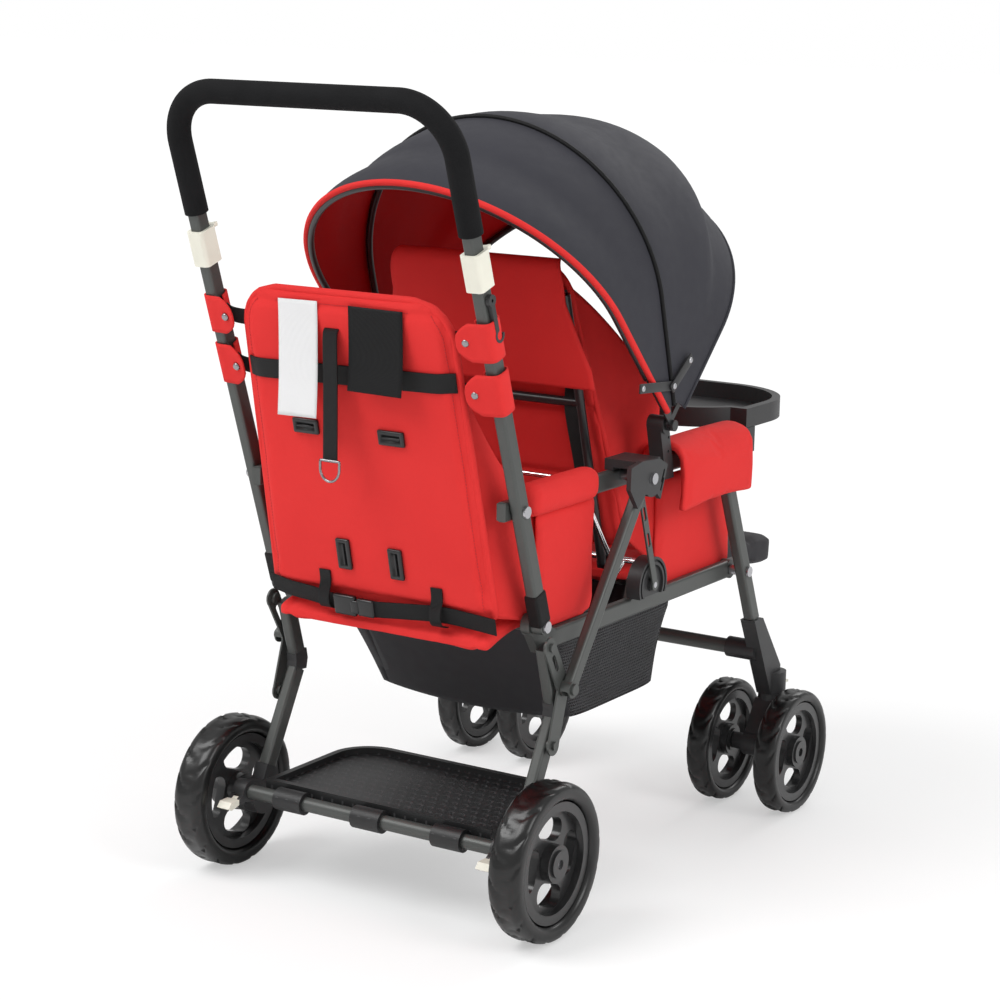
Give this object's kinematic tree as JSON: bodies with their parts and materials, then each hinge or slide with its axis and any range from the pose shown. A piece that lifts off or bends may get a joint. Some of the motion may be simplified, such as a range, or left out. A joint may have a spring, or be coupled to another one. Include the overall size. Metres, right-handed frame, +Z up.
{
  "type": "tandem stroller",
  "caption": "Folding tandem pushchair with a front seat under a canopy, a rear bench and standing platform, a basket, a tray, swivelling front wheels and a foam push bar.",
  "frame": {"origin": "on the floor, under the middle of the object's overall box", "axes": "+X to the rider's right, +Y forward, +Z up"},
  "size_m": [0.576, 0.9895, 1.0548],
  "materials": {
    "paint": "satin gunmetal",
    "black_plastic": "moulded",
    "tyre": "semi-gloss",
    "foam": "matte foam",
    "red_cloth": "woven",
    "dark_cloth": "twill",
    "cream_plastic": "moulded",
    "steel": "zinc plated",
    "wire": "bright wire"
  },
  "bodies": {
    "chassis": {"lower_frame": "paint", "frame_bolts": "steel", "recline_quadrants": "black_plastic", "front_seat_cushion": "red_cloth", "rear_seat_cushion": "red_cloth", "leg_rest": "dark_cloth", "basket": "dark_cloth"},
    "handle": {"handle_tube": "paint", "handle_foam": "foam", "rear_seat_back": "red_cloth"},
    "arms": {"arm_rails": "paint", "arm_bolts": "steel", "hinge_housings": "black_plastic", "canopy_hubs": "black_plastic", "front_arm_pads": "red_cloth", "rear_side_panels": "red_cloth", "front_side_panels": "red_cloth"},
    "rear_frame": {"braces": "paint", "knee_plates": "paint", "rear_legs": "paint", "knuckles": "black_plastic", "axle_blocks": "black_plastic", "rear_axles": "steel", "platform": "black_plastic"},
    "front_frame": {"front_leg_tubes": "paint", "leg_sockets": "black_plastic", "front_cross_tube": "paint"},
    "straps": {"strap_links": "paint"},
    "bail": {"recline_bail": "wire"},
    "front_back": {"front_back_frame": "black_plastic", "front_seat_back": "red_cloth"},
    "canopy_front_part": {"front_bow": "black_plastic", "canopy_front": "dark_cloth"},
    "canopy_mid_part": {"mid_bow": "black_plastic"},
    "canopy_rear_part": {"rear_bow": "black_plastic", "canopy_rear": "dark_cloth"},
    "rear_wheel_l": {"rear_tyre_l": "tyre", "rear_hub_l": "black_plastic"},
    "rear_wheel_r": {"rear_tyre_r": "tyre", "rear_hub_r": "black_plastic"},
    "brake_l": {"brake_pedal_l": "cream_plastic"},
    "brake_r": {"brake_pedal_r": "cream_plastic"},
    "caster_l": {"caster_l": "black_plastic"},
    "caster_r": {"caster_r": "black_plastic"},
    "lock_l": {"swivel_lock_l": "cream_plastic"},
    "lock_r": {"swivel_lock_r": "cream_plastic"},
    "collar_l": {"latch_collar_l": "cream_plastic"},
    "collar_r": {"latch_collar_r": "cream_plastic"},
    "catch": {"storage_catch": "black_plastic"},
    "tray": {"tray": "black_plastic"},
    "button_l": {"tray_button_l": "cream_plastic"},
    "button_r": {"tray_button_r": "cream_plastic"},
    "front_wheel_lo": {"front_tyre_lo": "tyre", "front_hub_lo": "black_plastic"},
    "front_wheel_li": {"front_tyre_li": "tyre", "front_hub_li": "black_plastic"},
    "front_wheel_ri": {"front_tyre_ri": "tyre", "front_hub_ri": "black_plastic"},
    "front_wheel_ro": {"front_tyre_ro": "tyre", "front_hub_ro": "black_plastic"}
  },
  "joints": [
    {"name": "frame_fold", "type": "hinge", "parent": "chassis", "child": "handle", "pos_m": [0, -0.25625, 0.387], "axis": [-1, 0, 0], "range_deg": [0, 90], "deforming": ["basket", "rear_seat_back", "rear_side_panels", "front_side_panels", "front_arm_pads", "canopy_front", "canopy_rear"]},
    {"name": "arms_level", "type": "hinge", "parent": "handle", "child": "arms", "pos_m": [0, -0.30937, 0.54216], "axis": [1, 0, 0], "range_deg": [0, 90]},
    {"name": "front_leg_fold", "type": "hinge", "parent": "chassis", "child": "front_frame", "pos_m": [0, 0.27175, 0.36], "axis": [-1, 0, 0], "range_deg": [0, 90]},
    {"name": "strap_fold", "type": "hinge", "parent": "chassis", "child": "straps", "pos_m": [0, 0.00887, 0.39084], "axis": [-1, 0, 0], "range_deg": [0, 90]},
    {"name": "rear_leg_fold", "type": "hinge", "parent": "arms", "child": "rear_frame", "pos_m": [0, -0.04425, 0.546], "axis": [-1, 0, 0], "range_deg": [0, 33]},
    {"name": "back_fold", "type": "hinge", "parent": "chassis", "child": "bail", "pos_m": [0, 0.03275, 0.412], "axis": [-1, 0, 0], "range_deg": [0, 103]},
    {"name": "canopy_front_fold", "type": "hinge", "parent": "arms", "child": "canopy_front_part", "pos_m": [0, 0.02475, 0.605], "axis": [-1, 0, 0], "range_deg": [0, 44]},
    {"name": "canopy_mid_fold", "type": "hinge", "parent": "canopy_front_part", "child": "canopy_mid_part", "pos_m": [0, 0.02475, 0.605], "axis": [-1, 0, 0], "range_deg": [0, 56]},
    {"name": "canopy_rear_fold", "type": "hinge", "parent": "canopy_mid_part", "child": "canopy_rear_part", "pos_m": [0, 0.02475, 0.605], "axis": [-1, 0, 0], "range_deg": [0, 23]},
    {"name": "recline", "type": "hinge", "parent": "bail", "child": "front_back", "pos_m": [0, 0.03275, 0.412], "axis": [1, 0, 0], "range_deg": [0, 15]},
    {"name": "rear_spin_l", "type": "hinge", "parent": "rear_frame", "child": "rear_wheel_l", "pos_m": [-0.247, -0.30525, 0.102], "axis": [1, 0, 0], "continuous": true},
    {"name": "rear_spin_r", "type": "hinge", "parent": "rear_frame", "child": "rear_wheel_r", "pos_m": [0.247, -0.30525, 0.102], "axis": [1, 0, 0], "continuous": true},
    {"name": "brake_l", "type": "hinge", "parent": "rear_frame", "child": "brake_l", "pos_m": [-0.203, -0.35401, 0.10725], "axis": [1, 0, 0], "range_deg": [0, 20]},
    {"name": "brake_r", "type": "hinge", "parent": "rear_frame", "child": "brake_r", "pos_m": [0.203, -0.35401, 0.10725], "axis": [1, 0, 0], "range_deg": [0, 20]},
    {"name": "swivel_l", "type": "hinge", "parent": "front_frame", "child": "caster_l", "pos_m": [-0.2172, 0.37375, 0.16], "axis": [0, 0, 1], "continuous": true},
    {"name": "swivel_r", "type": "hinge", "parent": "front_frame", "child": "caster_r", "pos_m": [0.2172, 0.37375, 0.16], "axis": [0, 0, 1], "continuous": true},
    {"name": "front_spin_lo", "type": "hinge", "parent": "caster_l", "child": "front_wheel_lo", "pos_m": [-0.271, 0.33175, 0.0895], "axis": [1, 0, 0], "continuous": true},
    {"name": "front_spin_li", "type": "hinge", "parent": "caster_l", "child": "front_wheel_li", "pos_m": [-0.1634, 0.33175, 0.0895], "axis": [1, 0, 0], "continuous": true},
    {"name": "front_spin_ri", "type": "hinge", "parent": "caster_r", "child": "front_wheel_ri", "pos_m": [0.1634, 0.33175, 0.0895], "axis": [1, 0, 0], "continuous": true},
    {"name": "front_spin_ro", "type": "hinge", "parent": "caster_r", "child": "front_wheel_ro", "pos_m": [0.271, 0.33175, 0.0895], "axis": [1, 0, 0], "continuous": true},
    {"name": "lock_l", "type": "hinge", "parent": "front_frame", "child": "lock_l", "pos_m": [-0.2172, 0.39735, 0.172], "axis": [1, 0, 0], "range_deg": [0, 30]},
    {"name": "lock_r", "type": "hinge", "parent": "front_frame", "child": "lock_r", "pos_m": [0.2172, 0.39735, 0.172], "axis": [1, 0, 0], "range_deg": [0, 30]},
    {"name": "collar_l", "type": "slide", "parent": "handle", "child": "collar_l", "axis": [0, -0.3239, 0.9461], "range_m": [0, 0.012], "stiffness_N_per_m": 300},
    {"name": "collar_r", "type": "slide", "parent": "handle", "child": "collar_r", "axis": [0, -0.3239, 0.9461], "range_m": [0, 0.012], "stiffness_N_per_m": 300},
    {"name": "catch", "type": "hinge", "parent": "handle", "child": "catch", "pos_m": [0.214, -0.40104, 0.8099], "axis": [1, 0, 0], "range_deg": [0, 25]},
    {"name": "tray_pull", "type": "slide", "parent": "arms", "child": "tray", "axis": [0, 1, 0], "range_m": [0, 0.12]},
    {"name": "button_l", "type": "slide", "parent": "tray", "child": "button_l", "axis": [1, 0, 0], "range_m": [0, 0.002], "stiffness_N_per_m": 400},
    {"name": "button_r", "type": "slide", "parent": "tray", "child": "button_r", "axis": [-1, 0, 0], "range_m": [0, 0.002], "stiffness_N_per_m": 400}
  ],
  "couplings": [
    {"joint": "arms_level", "follows": "frame_fold", "ratio": 1},
    {"joint": "front_leg_fold", "follows": "frame_fold", "ratio": 1},
    {"joint": "strap_fold", "follows": "frame_fold", "ratio": 1},
    {"joint": "rear_leg_fold", "follows": "frame_fold", "ratio": 0.36},
    {"joint": "back_fold", "follows": "frame_fold", "ratio": 1.14},
    {"joint": "canopy_front_fold", "follows": "frame_fold", "ratio": 0.47778},
    {"joint": "canopy_mid_fold", "follows": "frame_fold", "ratio": 0.61111},
    {"joint": "canopy_rear_fold", "follows": "frame_fold", "ratio": 0.24444}
  ]
}
